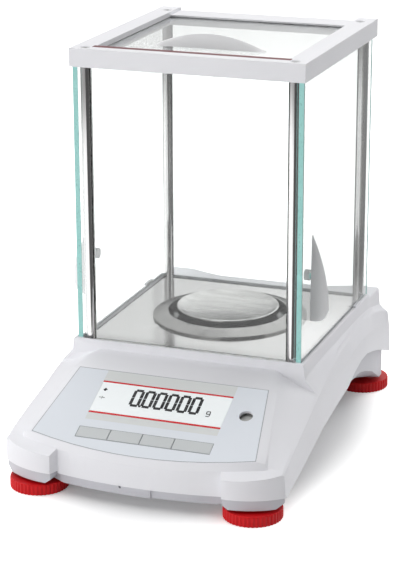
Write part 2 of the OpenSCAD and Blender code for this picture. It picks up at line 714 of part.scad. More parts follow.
module post_screws() {
    color("silver") at_posts() {
        translate([0, 0, frame_z - 8]) cylinder(h = frame_h + 5.6, r = screw_r);
        difference() {
            translate([0, 0, frame_z + frame_h - 2.5]) cylinder(h = 1.9, r1 = screw_r, r2 = 3.5);
            translate([0, 0, frame_z + frame_h - 1.9]) linear_extrude(3)
                polygon([for (a = [0 : 60 : 300]) 1.35 * [cos(a), sin(a)]]);
        }
        translate([0, 0, 61.5]) cylinder(h = 12, r = screw_r);
        translate([0, 0, 59.1]) cylinder(h = 2.8, r = 3.4);
    }
}

module top_frame() {
    top = frame_z + frame_h;
    color(white) difference() {
        translate([-frame_hw, frame_front, frame_z]) cube([2 * frame_hw, frame_back - frame_front, frame_h]);
        translate([-top_open_hw, top_front, frame_z - 1])
            cube([2 * top_open_hw, rear_rail - top_front, frame_h + 2]);
        // The rear rail is lower between the corners
        translate([-top_open_hw, rear_rail - 1, top - 2.4]) cube([2 * top_open_hw, 60, 5]);
        // Slot that the top door runs in, open at the back
        translate([-top_glass_hw - door_gap, top_front - 5.4, top_glass_z - door_gap])
            cube([2 * (top_glass_hw + door_gap), 240, top_glass_t + 2 * door_gap]);
        // Grooves for the side doors and the fixed panes
        for (s = [-1, 1]) translate([s > 0 ? groove_in : -groove_out, door_front - 0.3, frame_z - 1])
            cube([groove_out - groove_in, 240, 4.1]);
        for (y = [post_front, post_back]) translate([-pane_hw - 0.2, y - pane_t / 2 - 0.1, frame_z - 1])
            cube([2 * pane_hw + 0.4, pane_t + 0.2, 4.2]);
        // Bed of the trim strip
        translate([-trim_hw() - 0.1, top_front - trim_w - 0.3, top - 1.5])
            cube([2 * trim_hw() + 0.2, trim_w + 0.1, 5]);
        at_posts() {
            translate([0, 0, frame_z - 1]) cylinder(h = 5.2, r = post_d / 2 + fit);
            translate([0, 0, frame_z]) cylinder(h = 30, r = 2.1);
            translate([0, 0, top - 2.6]) cylinder(h = 2.7, r1 = 2.1, r2 = 4.2);
        }
    }
}

function trim_hw() = post_x - 4.4;

module frame_trim() {
    color("firebrick") translate([-trim_hw(), top_front - trim_w - 0.2, frame_z + frame_h - 1.5])
        cube([2 * trim_hw(), trim_w - 0.1, 1.7]);
}

module front_glass() {
    color([0.8, 0.95, 0.92, 0.35]) translate([-pane_hw, post_front - pane_t / 2, plate_z + 0.1])
        cube([2 * pane_hw, pane_t, frame_z + 3 - plate_z]);
}

module rear_glass() {
    color([0.8, 0.95, 0.92, 0.35]) translate([-pane_hw, post_back - pane_t / 2, rear_deck_z])
        cube([2 * pane_hw, pane_t, frame_z + 3 - rear_deck_z]);
}

module top_door() {
    color([0.8, 0.95, 0.92, 0.35]) translate([-top_glass_hw, top_front - 5, top_glass_z])
        cube([2 * top_glass_hw, rear_rail + 12 - top_front, top_glass_t]);
}

// Upright crescent across the top door.
module top_handle() {
    w = 43;
    h = 10.4;
    color([0.62, 0.62, 0.64]) translate([0, top_front + 36.2, top_glass_z + top_glass_t])
        loft([for (i = [0 : 20]) let (x = w * (1 - i / 10), k = h * (1 - pow(i / 10 - 1, 2)) + 0.3)
            [[x, -2.6, 0], [x, -1.6, k * 0.6], [x, -0.7, k], [x, 0.7, k], [x, 1.6, k * 0.6], [x, 2.6, 0]]]);
}

module door_pane(s) {
    x0 = s > 0 ? door_in : -door_out;
    color([0.75, 0.95, 0.9, 0.35]) difference() {
        translate([x0, door_front, door_low]) cube([door_t, door_back - door_front, door_high - door_low]);
        translate([x0 - 1, handle_y, handle_z]) rotate([0, 90, 0]) cylinder(h = door_t + 2, r = 3);
    }
}

module left_door() { door_pane(-1); }
module right_door() { door_pane(1); }

// Upright fin that stands out from the glass, with the stud that passes through it.
// k is how far up the curved part a level lies, from 0 to 1.
function fin_out(k) = 12.8 * (1 - pow(k, 1.9)) + 0.5;
function fin_half(k) = 1.2 + 2.6 * (1 - k);
module door_handle(s) {
    color([0.62, 0.62, 0.64]) mirror([s > 0 ? 0 : 1, 0, 0]) translate([door_out, handle_y, handle_z]) {
        loft(concat(
            [fin_ring(-34.3, 7.4, 3), fin_ring(-32, 10.4, 3.5), fin_ring(-28.6, 12.2, 3.8)],
            [for (i = [0 : 14]) fin_ring(-24.8 + 55.4 * i / 14, fin_out(i / 14), fin_half(i / 14))]));
        translate([-door_t - 3.2, 0, 0]) rotate([0, 90, 0]) cylinder(h = door_t + 4, r = 2.4);
    }
}
function fin_ring(z, out, half) = [[0.02, -half, z], [out * 0.55, -half * 0.75, z], [out * 0.92, -half * 0.35, z],
    [out, 0, z], [out * 0.92, half * 0.35, z], [out * 0.55, half * 0.75, z], [0.02, half, z]];

module left_handle() { door_handle(-1); }
module right_handle() { door_handle(1); }

module door_knob(s) {
    color([0.62, 0.62, 0.64]) translate([s * (door_in - 4.3), handle_y, handle_z]) rotate([0, s * 90, 0])
        difference() {
            cylinder(h = 4.25, r = 4);
            translate([0, 0, 1]) cylinder(h = 5, r = 2.45);
        }
}

module left_knob() { door_knob(-1); }
module right_knob() { door_knob(1); }

module door_guides() {
    color(white) for (s = [-1, 1]) translate([s > 0 ? groove_out + 0.1 : -groove_out - 2.5, 84, deck_z])
        cube([2.4, 14, 1.8]);
}

// ---------------------------------------------------------------- fasteners
module housing_screws() {
    color("dimgray") at_bosses() {
        translate([0, 0, base_z + 2]) cylinder(h = 2.45, r = 3.7);
        translate([0, 0, base_z + 4.4]) cylinder(h = 26, r = screw_r);
    }
}

module foot_inserts() {
    color("goldenrod") at_feet() difference() {
        translate([0, 0, leg_z + 1]) cylinder(h = 17.4, r = insert_d / 2);
        cylinder(h = 60, r = stem_d / 2 + 0.06);
    }
}

// ---------------------------------------------------------------- feet
module foot_wheel(sx, sy) {
    r = wheel_d / 2;
    color([0.8, 0.1, 0.12]) translate([sx * foot_x, sy * foot_y, 0]) difference() {
        union() {
            translate([0, 0, 0.5]) intersection() {
                linear_extrude(wheel_h - 0.5) polygon([for (i = [0 : 2 * flutes - 1])
                    let (a = 180 * (i + 0.5) / flutes, q = i % 2 == 0 ? r : r - 0.7) [q * cos(a), q * sin(a)]]);
                cylinder(h = wheel_h - 0.5, r1 = r + 3, r2 = r - 0.5);
            }
            cylinder(h = stem_top, r = stem_d / 2);
        }
        translate([0, 0, -1]) cylinder(h = pad_h + 1.2, r = pad_d / 2 + 0.3);
    }
}

module foot_wheel_fl() { foot_wheel(-1, -1); }
module foot_wheel_fr() { foot_wheel(1, -1); }
module foot_wheel_rl() { foot_wheel(-1, 1); }
module foot_wheel_rr() { foot_wheel(1, 1); }

module foot_pad(sx, sy) {
    color([0.15, 0.15, 0.15]) translate([sx * foot_x, sy * foot_y, 0]) cylinder(h = pad_h, r = pad_d / 2);
}

module foot_pad_fl() { foot_pad(-1, -1); }
module foot_pad_fr() { foot_pad(1, -1); }
module foot_pad_rl() { foot_pad(-1, 1); }
module foot_pad_rr() { foot_pad(1, 1); }

base_casting();
upper_housing();
panel_overlay();
display_window();
lcd_module();
display_board();
key_1();
key_2();
key_3();
key_4();
spirit_level();
floor_plate();
draft_ring();
weighing_pan();
pan_support();
weighing_cell();
cell_bracket();
cell_screws();
calibration_weight();
calibration_lifter();
calibration_drive();
main_board();
rear_board();
board_screws();
port_plate();
power_inlet();
serial_port();
port_sockets();
usb_port();
hook_cover();
shield_posts();
post_screws();
top_frame();
frame_trim();
front_glass();
rear_glass();
top_door();
top_handle();
left_door();
right_door();
left_handle();
right_handle();
left_knob();
right_knob();
door_guides();
housing_screws();
foot_inserts();
foot_wheel_fl();
foot_wheel_fr();
foot_wheel_rl();
foot_wheel_rr();
foot_pad_fl();
foot_pad_fr();
foot_pad_rl();
foot_pad_rr();
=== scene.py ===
import json
import math
import bmesh
import bpy
from mathutils import Matrix, Vector

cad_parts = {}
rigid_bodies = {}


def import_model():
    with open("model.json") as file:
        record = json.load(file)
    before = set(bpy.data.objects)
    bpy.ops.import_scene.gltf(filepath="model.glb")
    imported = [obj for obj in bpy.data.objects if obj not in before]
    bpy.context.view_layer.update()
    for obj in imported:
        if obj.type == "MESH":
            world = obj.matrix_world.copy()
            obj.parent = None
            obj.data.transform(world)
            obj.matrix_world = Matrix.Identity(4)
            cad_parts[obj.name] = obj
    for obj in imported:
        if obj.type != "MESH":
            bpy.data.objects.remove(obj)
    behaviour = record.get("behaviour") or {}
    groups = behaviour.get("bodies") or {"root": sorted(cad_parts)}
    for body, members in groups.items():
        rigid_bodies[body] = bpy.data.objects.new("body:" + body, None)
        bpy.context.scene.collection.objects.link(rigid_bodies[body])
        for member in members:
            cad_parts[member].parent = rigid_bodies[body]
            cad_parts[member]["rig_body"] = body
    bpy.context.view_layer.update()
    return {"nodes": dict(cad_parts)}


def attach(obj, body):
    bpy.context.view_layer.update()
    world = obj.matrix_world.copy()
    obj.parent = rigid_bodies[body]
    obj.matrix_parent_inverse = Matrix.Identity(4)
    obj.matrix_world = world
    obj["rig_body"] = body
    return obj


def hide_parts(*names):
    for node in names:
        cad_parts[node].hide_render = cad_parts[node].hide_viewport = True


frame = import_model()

mm = 0.001
nodes = frame["nodes"]

# The camera stands in front of the balance, a little to its right and above it,
# and looks down on the deck with a long lens.
camera_place = Vector((490.6, -1353.5, 578.6)) * mm
turn, tilt, roll = math.radians(20.23), math.radians(17.79), math.radians(0.19)
sensor_h, focal_length = 36, 124.82
ahead = Vector((-math.sin(turn) * math.cos(tilt), math.cos(turn) * math.cos(tilt), -math.sin(tilt)))
level_across = ahead.cross(Vector((0, 0, 1))).normalized()
rolled = Matrix.Rotation(roll, 3, ahead)
across, above = rolled @ level_across, rolled @ level_across.cross(ahead)
camera = bpy.data.objects.new("camera", bpy.data.cameras.new("camera"))
camera.matrix_world = Matrix((across, above, -ahead)).transposed().to_4x4()
camera.location = camera_place
camera.data.sensor_fit = "VERTICAL"
camera.data.sensor_height = sensor_h
camera.data.lens = focal_length
camera.data.clip_start = 50 * mm
bpy.context.scene.collection.objects.link(camera)
bpy.context.scene.camera = camera
bpy.context.scene.view_settings.view_transform = "Standard"


# The balance stands in a white studio, with soft boxes above it, at the left, in front and
# behind. The camera sees the room white. In polished metal and through glass the room is dim
# at eye level, brighter overhead and dimmer at the left.
class Signal:
    """What runs through a socket of a node. Sums of signals add their own Math nodes."""

    def __init__(self, tree, socket):
        self.tree, self.socket = tree, socket

    def maths(self, operation, *values):
        return self.tree.node("Math", {"operation": operation}, dict(enumerate(values)))

    def __add__(self, other):
        return self.maths("ADD", self, other)

    def __sub__(self, other):
        return self.maths("SUBTRACT", self, other)

    def __rsub__(self, other):
        return self.maths("SUBTRACT", other, self)

    def __mul__(self, other):
        return self.maths("MULTIPLY", self, other)

    def __lt__(self, other):
        return self.maths("LESS_THAN", self, other)

    def __gt__(self, other):
        return self.maths("GREATER_THAN", self, other)

    __radd__, __rmul__ = __add__, __mul__

    def larger(self, other):
        return self.maths("MAXIMUM", self, other)


class Tree:
    """The nodes of the world or of a finish, with one method that adds a node."""

    def __init__(self, tree):
        self.tree = tree

    def link(self, value, socket):
        if isinstance(value, Signal):
            self.tree.links.new(value.socket, socket)
        else:
            socket.default_value = (*value, 1) if socket.type == "RGBA" else value

    def node(self, kind, settings={}, sockets={}, output=0):
        made = self.tree.nodes.new("ShaderNode" + kind)
        for key, value in settings.items():
            setattr(made, key, value)
        for key, value in sockets.items():
            self.link(value, made.inputs[key])
        return Signal(self, made.outputs[output])

    def ray(self, kind):
        """1 for a ray of this kind and 0 for any other."""
        return self.node("LightPath", output=f"Is {kind} Ray")

    def mirrored(self):
        """1 for a ray that polished metal has thrown back at least once, and 0 for any other."""
        return self.node("LightPath", output="Glossy Depth") > 0.5

    def axis(self, vector, name):
        return self.node("SeparateXYZ", {}, {"Vector": vector}, output=name)


world = bpy.data.worlds.new("studio")
bpy.context.scene.world = world
world.use_nodes = True
studio = Tree(world.node_tree)
direction = studio.node("TexCoord", output="Generated")


def room_light(name, start, end, low, high):
    """The light of the room, from low to high as a ray turns from start to end along one axis."""
    along = studio.axis(direction, name)
    return studio.node("MapRange", {}, {
        "Value": along, "From Min": start, "From Max": end, "To Min": low, "To Max": high})


fill_light = 0.04
by_height = room_light("Z", start=0.02, end=0.40, low=0.26, high=1.45)
by_side = room_light("X", start=-0.60, end=-0.25, low=0.45, high=1.0)
room = by_height * by_side
bounced = studio.ray("Glossy").larger(studio.ray("Transmission"))
strength = fill_light + bounced * (room - fill_light)
sky = world.node_tree.nodes["Background"]
studio.link((1, 1, 1), sky.inputs["Color"])
studio.link(strength.larger(studio.ray("Camera")), sky.inputs["Strength"])


def soft_box(name, place, aim, size, power):
    lamp = bpy.data.objects.new(name, bpy.data.lights.new(name, "AREA"))
    lamp.data.shape = "RECTANGLE"
    lamp.data.size, lamp.data.size_y = size
    lamp.data.energy = power
    lamp.location = place
    lamp.rotation_euler = (Vector(aim) - Vector(place)).to_track_quat("-Z", "Y").to_euler()
    lamp.visible_glossy = lamp.visible_transmission = False
    bpy.context.scene.collection.objects.link(lamp)


soft_box("top_box", place=(0, 0.2, 2.0), aim=(0, 0, 0.1), size=(3, 3), power=48)
soft_box("left_box", place=(-1.9, -0.5, 0.5), aim=(0, 0, 0.15), size=(1.6, 0.9), power=14)
soft_box("front_box", place=(-0.9, -2.0, 0.5), aim=(0, 0, 0.15), size=(1.2, 0.8), power=14.5)
soft_box("back_box", place=(1.3, 1.5, 0.6), aim=(0, 0, 0.15), size=(1.6, 1.0), power=12)


# The bench is a white sweep, and its glow is painted light: to the camera it glows dim close to the
# balance, which keeps the shadow there, and pure white away from it. Polished metal sees the glow
# halved, and sees the bench behind the balance or far off painted grey without glow: painted reflection.
class Finish(Tree):
    """A material. Its sockets are written with an underscore for each space in their names."""

    def __init__(self, name, colour, roughness, **sockets):
        self.material = bpy.data.materials.new(name)
        self.material.use_nodes = True
        super().__init__(self.material.node_tree)
        self.shader = self.tree.nodes["Principled BSDF"]
        self.shade(Base_Color=colour, Roughness=roughness, **sockets)
        self.place = self.node("TexCoord", output="Object")

    def shade(self, **sockets):
        for key, value in sockets.items():
            self.link(value, self.shader.inputs[key.replace("_", " ")])

    def noise(self, scale, detail=2.0, stretch=(1, 1, 1)):
        """Soft blots, scale of them to a metre, packed closer along the axes with a large stretch."""
        at = self.node("Mapping", {}, {"Vector": self.place, "Scale": stretch})
        return self.node("TexNoise", {}, {"Vector": at, "Scale": scale, "Detail": detail})

    def distance(self, stretch, centre=(0, 0, 0)):
        """How far a point lies from a centre, with each axis drawn out as stretch says."""
        reach = self.node("VectorMath", {"operation": "MULTIPLY_ADD"}, {
            0: self.place, 1: stretch, 2: [-value for value in centre]})
        return self.node("VectorMath", {"operation": "LENGTH"}, {0: reach}, output="Value")

    def mix(self, mask, low, high):
        return self.node("Mix", {"data_type": "RGBA"}, {0: mask, 6: low, 7: high}, output=2)

    def tone(self, mask, low, high):
        """Colours the surface from low to high as the mask goes from 0 to 1."""
        self.shade(Base_Color=self.mix(mask, low, high))

    def relief(self, height, depth, strength):
        bump = self.node("Bump", {}, {"Height": height, "Distance": depth, "Strength": strength})
        self.shade(Normal=bump)

    def paint(self, *pieces):
        for piece in pieces:
            piece = nodes.get(piece, piece)
            piece.data.materials.clear()
            piece.data.materials.append(self.material)


def soft_step(value, low, high):
    """0 below low and 1 above high, with a soft step between."""
    return value.tree.node("MapRange", {"interpolation_type": "SMOOTHSTEP"}, {
        "Value": value, "From Min": low, "From Max": high})


def added(name, shape):
    """Puts a finished shape in the scene as a new object."""
    piece = bpy.data.objects.new(name, bpy.data.meshes.new(name))
    shape.to_mesh(piece.data)
    shape.free()
    bpy.context.scene.collection.objects.link(piece)
    return piece


bench_reach = 8
bench_white, reflected_grey = (0.93, 0.93, 0.93), (0.3, 0.3, 0.3)
near_glow, far_glow, glow_cut_in_metal = 0.12, 0.97, 0.5
sweep = Finish("white_sweep", bench_white, 0.75, Emission_Strength=1.0, Specular_IOR_Level=0.1)
seen = sweep.ray("Camera").larger(sweep.ray("Glossy").larger(sweep.ray("Transmission")))
thrown_back = sweep.mirrored()
clear_of_shadow = soft_step(sweep.distance(stretch=(7.4, 4.5, 0)), low=0.7, high=1.12)
behind = soft_step(sweep.axis(sweep.place, "Y"), low=0.2, high=0.45)
far_off = soft_step(sweep.distance(stretch=(1, 1, 0)), low=0.9, high=1.4)
# Painted reflection: in polished metal the bench behind the balance or far off is painted grey, without
# glow.
dimmed_in_metal = thrown_back * behind.larger(far_off)
# Painted light: the bench glows, dim near the balance and full away from it, halved in polished metal.
glow = seen * (near_glow + (far_glow - near_glow) * clear_of_shadow)
sweep.shade(Emission_Color=glow * (1 - glow_cut_in_metal * thrown_back) * (1 - dimmed_in_metal))
sweep.tone(dimmed_in_metal, bench_white, reflected_grey)
shape = bmesh.new()
bmesh.ops.create_grid(shape, x_segments=2, y_segments=2, size=bench_reach)
floor = added("bench_sweep", shape)
sweep.paint(floor)

# Two black flags draw the dark bands in polished metal, and show nowhere else. One stands
# at the front right of the balance, and the other lies on the bench between the two.
flag_height, flag_lift = 1.7, 0.001
near_end, far_end = (0.25, -2.0), (1.9, -0.4)
standing = [(*near_end, 0), (*far_end, 0), (*far_end, flag_height), (*near_end, flag_height)]
flag_plan = [(0.05, -0.27), (0.22, -0.03), (0.27, 0.2), (0.7, 0.7), (1.6, 0.9), (1.8, -0.4), (0.25, -1.9)]
lying = [(*corner, flag_lift) for corner in flag_plan]
dark = Finish("black_flag", (0.10, 0.10, 0.10), 0.9)
dark.shade(Alpha=dark.mirrored())
for name, corners in (("flag_right", standing), ("flag_low", lying)):
    shape = bmesh.new()
    shape.faces.new([shape.verts.new(corner) for corner in corners])
    flag = added(name, shape)
    flag.visible_camera = flag.visible_diffuse = flag.visible_shadow = False
    dark.paint(flag)

# The casting is the aluminium tray that carries everything. It is die-cast, powder-coated
# light grey, and its lip and two front legs show under the white housing.
join_within, flat_within = 0.003 * mm, math.radians(0.3)


def joined(node):
    """A copy of a CAD node's mesh, its loose triangles joined."""
    shape = bmesh.new()
    shape.from_mesh(nodes[node].data)
    bmesh.ops.remove_doubles(shape, verts=shape.verts, dist=join_within)
    return shape


def placed(name, shape, node, smooth=30):
    """Puts a finished shape in the scene, riding with a node."""
    piece = added(name, shape)
    piece.data.shade_smooth()
    piece.data.set_sharp_from_angle(angle=math.radians(smooth))
    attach(piece, nodes[node]["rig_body"])
    return piece


def eased(node, ease, smooth=30):
    """Stands for a CAD node: its flats joined, its edges eased and its curves smooth."""
    shape = joined(node)
    bmesh.ops.dissolve_limit(shape, angle_limit=flat_within, verts=shape.verts, edges=shape.edges)
    piece = placed(node + "_fair", shape, node, smooth)
    edge = piece.modifiers.new("eased_edges", "BEVEL")
    edge.width, edge.segments = ease * mm, 2
    edge.limit_method, edge.angle_limit = "ANGLE", math.radians(smooth)
    edge.harden_normals = True
    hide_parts(node)
    return piece


powder_coat = Finish("powder_coat_grey", (0.60, 0.60, 0.64), 0.5)
peel = powder_coat.noise(900, 3)
powder_coat.relief(peel, depth=0.05 * mm, strength=0.5)
powder_coat.shade(Roughness=0.42 + 0.16 * powder_coat.noise(60, 4))
powder_coat.tone(powder_coat.noise(25, 4), (0.56, 0.56, 0.60), (0.64, 0.64, 0.68))
powder_coat.paint(eased("base_casting", ease=0.5))

# Each foot is a wheel and its screw, moulded in one in red plastic, with a rubber pad under
# it. The screw turns in a brass insert that is pressed into the casting.
red_plastic = Finish("red_moulded_plastic", (0.64, 0.005, 0.008), 0.42, Specular_IOR_Level=0.25)
swirl = red_plastic.noise(45, 5)
red_plastic.shade(Roughness=0.34 + 0.2 * swirl)
red_plastic.tone(swirl, (0.56, 0.004, 0.007), (0.72, 0.008, 0.012))
red_plastic.relief(red_plastic.noise(1600), depth=0.02 * mm, strength=0.5)
rubber = Finish("black_rubber", (0.018, 0.018, 0.019), 0.8)
rubber.tone(rubber.noise(150, 4), (0.012, 0.012, 0.013), (0.035, 0.034, 0.033))
rubber.relief(rubber.noise(2200), depth=0.03 * mm, strength=0.6)
brass = Finish("turned_brass", (0.74, 0.50, 0.20), 0.3, Metallic=1.0)
brass.shade(Roughness=0.22 + 0.25 * brass.noise(60, 4))
brass.relief(brass.noise(40, stretch=(1, 1, 120)), depth=0.02 * mm, strength=0.4)
for corner in ("fl", "fr", "rl", "rr"):
    red_plastic.paint(eased("foot_wheel_" + corner, ease=0.22, smooth=25))
    rubber.paint(eased("foot_pad_" + corner, ease=0.5))
brass.paint("foot_inserts")

# The cell stands on a cast bracket in the tray and carries the pan. Behind it a motor drops
# the calibration weight. All of it is bare alloy, steel and black plastic.
milled = Finish("milled_alloy", (0.66, 0.67, 0.69), 0.35, Metallic=1.0)
milled.relief(milled.noise(30, 3, stretch=(1, 90, 1)), depth=0.02 * mm, strength=0.5)
milled.shade(Roughness=0.3 + 0.2 * milled.noise(80, 3))
cast_alloy = Finish("cast_alloy", (0.45, 0.47, 0.50), 0.5, Metallic=1.0)
cast_alloy.relief(cast_alloy.noise(700, 4), depth=0.1 * mm, strength=0.6)
cast_alloy.shade(Roughness=0.42 + 0.25 * cast_alloy.noise(90, 4))
plated = Finish("plated_steel", (0.52, 0.52, 0.53), 0.32, Metallic=1.0)
plated.shade(Roughness=0.24 + 0.26 * plated.noise(300, 3))
plated.tone(plated.noise(120, 3), (0.46, 0.46, 0.47), (0.60, 0.60, 0.60))
black_plastic = Finish("black_moulded_plastic", (0.03, 0.03, 0.032), 0.5)
black_plastic.relief(black_plastic.noise(1500), depth=0.03 * mm, strength=0.6)
black_plastic.shade(Roughness=0.42 + 0.2 * black_plastic.noise(70, 4))
weight_steel = Finish("turned_weight_steel", (0.62, 0.61, 0.60), 0.22, Metallic=1.0)
weight_steel.relief(weight_steel.noise(30, stretch=(80, 1, 1)), depth=0.01 * mm, strength=0.5)
weight_steel.shade(Roughness=0.16 + 0.18 * weight_steel.noise(90, 3))
milled.paint("weighing_cell")
cast_alloy.paint("cell_bracket")
plated.paint("cell_screws", "housing_screws")
black_plastic.paint("calibration_lifter", "calibration_drive")
weight_steel.paint("calibration_weight")

# Three boards carry the electronics: one in the tray, one behind the panel and one behind
# the sockets. They are green glass-epoxy with lighter tracks under the lacquer.
lacquer = Finish("green_board", (0.02, 0.16, 0.07), 0.35, Coat_Weight=0.4)
tracks = lacquer.node("TexBrick", {"offset": 0.37}, {
    "Vector": lacquer.place, "Scale": 260.0, "Mortar Size": 0.06, "Color1": (0.018, 0.15, 0.065),
    "Color2": (0.024, 0.19, 0.08), "Mortar": (0.05, 0.28, 0.12)}, output="Color")
lacquer.shade(Base_Color=tracks, Roughness=0.28 + 0.2 * lacquer.noise(200, 3))
lacquer.paint("main_board", "display_board", "rear_board")
brass.paint("board_screws")

# The housing is one moulding in white ABS: the sloping console, the corner blocks in front,
# the weighing deck and the wings that fall to the bench line. It has a fine moulded grain.
white_plastic = Finish("white_moulded_plastic", (0.86, 0.86, 0.895), 0.45)
grain = white_plastic.noise(1300)
white_plastic.relief(grain, depth=0.02 * mm, strength=0.5)
cloud = white_plastic.noise(18, 4)
white_plastic.shade(Roughness=0.36 + 0.12 * grain + 0.1 * cloud)
white_plastic.tone(cloud, (0.84, 0.84, 0.88), (0.88, 0.88, 0.91))
white_plastic.paint(eased("upper_housing", ease=0.9, smooth=24), eased("door_guides", ease=0.4))

# The control panel is a printed polyester film on the slope: pale blue-grey, with a greyer
# band round the display and a dark grey strip behind the keys. Nothing is written on it.
slope = math.radians(24.74)
panel_corner = Vector((0, -144, 42.2)) * mm
band_hw, band_low, band_high, band_strength = 50.4, 19.6, 70.5, 0.85
strip_left, strip_right, strip_low, strip_high = -51.6, 50.8, 1.2, 12.1


def panel_axes(finish):
    """How far a point lies across the panel and up its slope, in millimetres."""
    turned = finish.node("Mapping", {"vector_type": "TEXTURE"}, {
        "Vector": finish.place, "Location": panel_corner, "Rotation": (slope, 0, 0), "Scale": (mm, mm, mm)})
    return finish.axis(turned, "X"), finish.axis(turned, "Y")


def between(value, low, high):
    return (value > low) * (value < high)


panel_film = Finish("printed_panel_film", (0.78, 0.82, 0.88), 0.4, Specular_IOR_Level=0.4)
x, up = panel_axes(panel_film)
weave = panel_film.noise(2500)
ground = panel_film.mix(panel_film.noise(14, 3), (0.775, 0.81, 0.865), (0.80, 0.835, 0.885))
display_band = between(x, -band_hw, band_hw) * between(up, band_low, band_high)
ground = panel_film.mix(display_band * band_strength, ground, (0.72, 0.735, 0.72))
strip = between(x, strip_left, strip_right) * between(up, strip_low, strip_high)
panel_film.tone(strip, ground, (0.30, 0.32, 0.34))
panel_film.shade(Roughness=0.34 + 0.14 * weave)
panel_film.relief(weave, depth=0.01 * mm, strength=0.5)
panel_film.paint(eased("panel_overlay", ease=0.15))

# A fine grey line is painted all round the panel, at the rim of the film. It is the film's own
# outer wall, thickened inwards, and lies a hair above the print.
line_w, line_lift = 0.5, 0.03
holes_hw, holes_high = 53, 62
level_x, level_up, level_reach = 64.9, 42.1, 6
rim_line_finish = Finish("panel_film_edge", (0.42, 0.43, 0.46), 0.5)
rim_line_finish.shade(Roughness=0.45 + 0.2 * rim_line_finish.noise(900))
rim_line_finish.tone(rim_line_finish.noise(60, 3), (0.38, 0.39, 0.42), (0.46, 0.47, 0.50))
on_slope = Matrix.Translation(panel_corner) @ Matrix.Rotation(slope, 4, "X")
shape = joined("panel_overlay")
bmesh.ops.transform(shape, matrix=on_slope.inverted(), verts=shape.verts)
bmesh.ops.scale(shape, vec=(1 / mm, 1 / mm, 1 / mm), verts=shape.verts)
inner = []
for face in shape.faces:
    side, rise, _ = face.calc_center_median()
    lies_flat = abs(face.normal[2]) > 0.5
    in_window = abs(side) < holes_hw and 0 < rise < holes_high
    in_level = math.hypot(side - level_x, rise - level_up) < level_reach
    if lies_flat or in_window or in_level:
        inner.append(face)
bmesh.ops.delete(shape, geom=inner, context="FACES")
bmesh.ops.solidify(shape, geom=shape.faces[:], thickness=line_w)
bmesh.ops.translate(shape, vec=(0, 0, line_lift), verts=shape.verts)
bmesh.ops.scale(shape, vec=(mm, mm, mm), verts=shape.verts)
bmesh.ops.transform(shape, matrix=on_slope, verts=shape.verts)
bmesh.ops.recalc_face_normals(shape, faces=shape.faces)
rim_line_finish.paint(placed("panel_edge_line", shape, "panel_overlay"))

# The four keys are caps of grey film that stand in the strip under the display. Each gives
# under a finger and springs back.
key_film = Finish("key_film", (0.60, 0.62, 0.63), 0.42)
key_film.tone(key_film.noise(30, 3), (0.585, 0.61, 0.62), (0.62, 0.64, 0.645))
key_film.relief(key_film.noise(2500), depth=0.01 * mm, strength=0.5)
key_film.shade(Roughness=0.36 + 0.12 * key_film.noise(900))
for number in "1234":
    key_film.paint(eased("key_" + number, ease=0.25))

# Under the window lies the display, a white glass lit from behind in a dark plastic case. A
# red line is printed along its top and another along its foot.
foot_line, top_line = (26.0, 28.0), (57.5, 59.6)
lamp_white = Finish("display_window_print", (0.90, 0.93, 0.94), 0.18, Emission_Strength=0.12)
x, up = panel_axes(lamp_white)
red_line = between(up, *foot_line) + between(up, *top_line)
lit_white = lamp_white.mix(lamp_white.noise(25, 3), (0.86, 0.90, 0.91), (0.92, 0.945, 0.95))
lamp_white.tone(red_line, lit_white, (0.62, 0.012, 0.020))
lamp_white.shade(Emission_Color=lamp_white.mix(red_line, (0.90, 0.95, 0.97), (0.3, 0.0, 0.0)))
lamp_white.shade(Roughness=0.14 + 0.1 * lamp_white.noise(40))
lamp_white.paint(eased("display_window", ease=0.1))
lcd_case = Finish("display_case", (0.10, 0.11, 0.11), 0.4)
lcd_case.shade(Roughness=0.3 + 0.25 * lcd_case.noise(200, 3))
lcd_case.paint("lcd_module")

# The display shows six plain zeros with a decimal point, the unit g, and two small marks at
# the left. They are black bars of liquid crystal, laid on the window as thin ink.
ink_lift, ink_height, corner_cut = 0.82, 0.06, 0.25
figure_count, figure_w, figure_h, figure_pitch = 6, 5.9, 15.2, 9.05
figure_left, figure_foot = -22.4, 38.0
bar_w, upright_share, level_share, halves = 2.3, 0.46, 0.92, (0.26, 0.74)
point_gap, point_w = 1.6, 1.9
unit_x, unit_up, unit_hw, unit_stroke = 37.3, 38.9, 1.3, 0.75
unit_top, unit_tail, unit_levels = 2.6, -1.9, (-2.1, 0.0, 2.7)
mark_bars = [(-45.8, 50.2, 0.9, 0.9, (1.6, 3.2, 1.6)), (-45.6, 42.1, 1.0, 0.5, (0.9, 4.6, 0.9))]
ink = Finish("display_ink", (0.012, 0.012, 0.014), 0.25)
ink.shade(Roughness=0.2 + 0.15 * ink.noise(300))
shape = bmesh.new()


def bar_at(x, up, width, height):
    """One bar, flat on the window, with its middle at this place."""
    made = bmesh.ops.create_grid(shape, x_segments=1, y_segments=1, size=0.5)["verts"]
    bmesh.ops.scale(shape, vec=(width, height, 1), verts=made)
    bmesh.ops.translate(shape, vec=(x, up, ink_lift), verts=made)


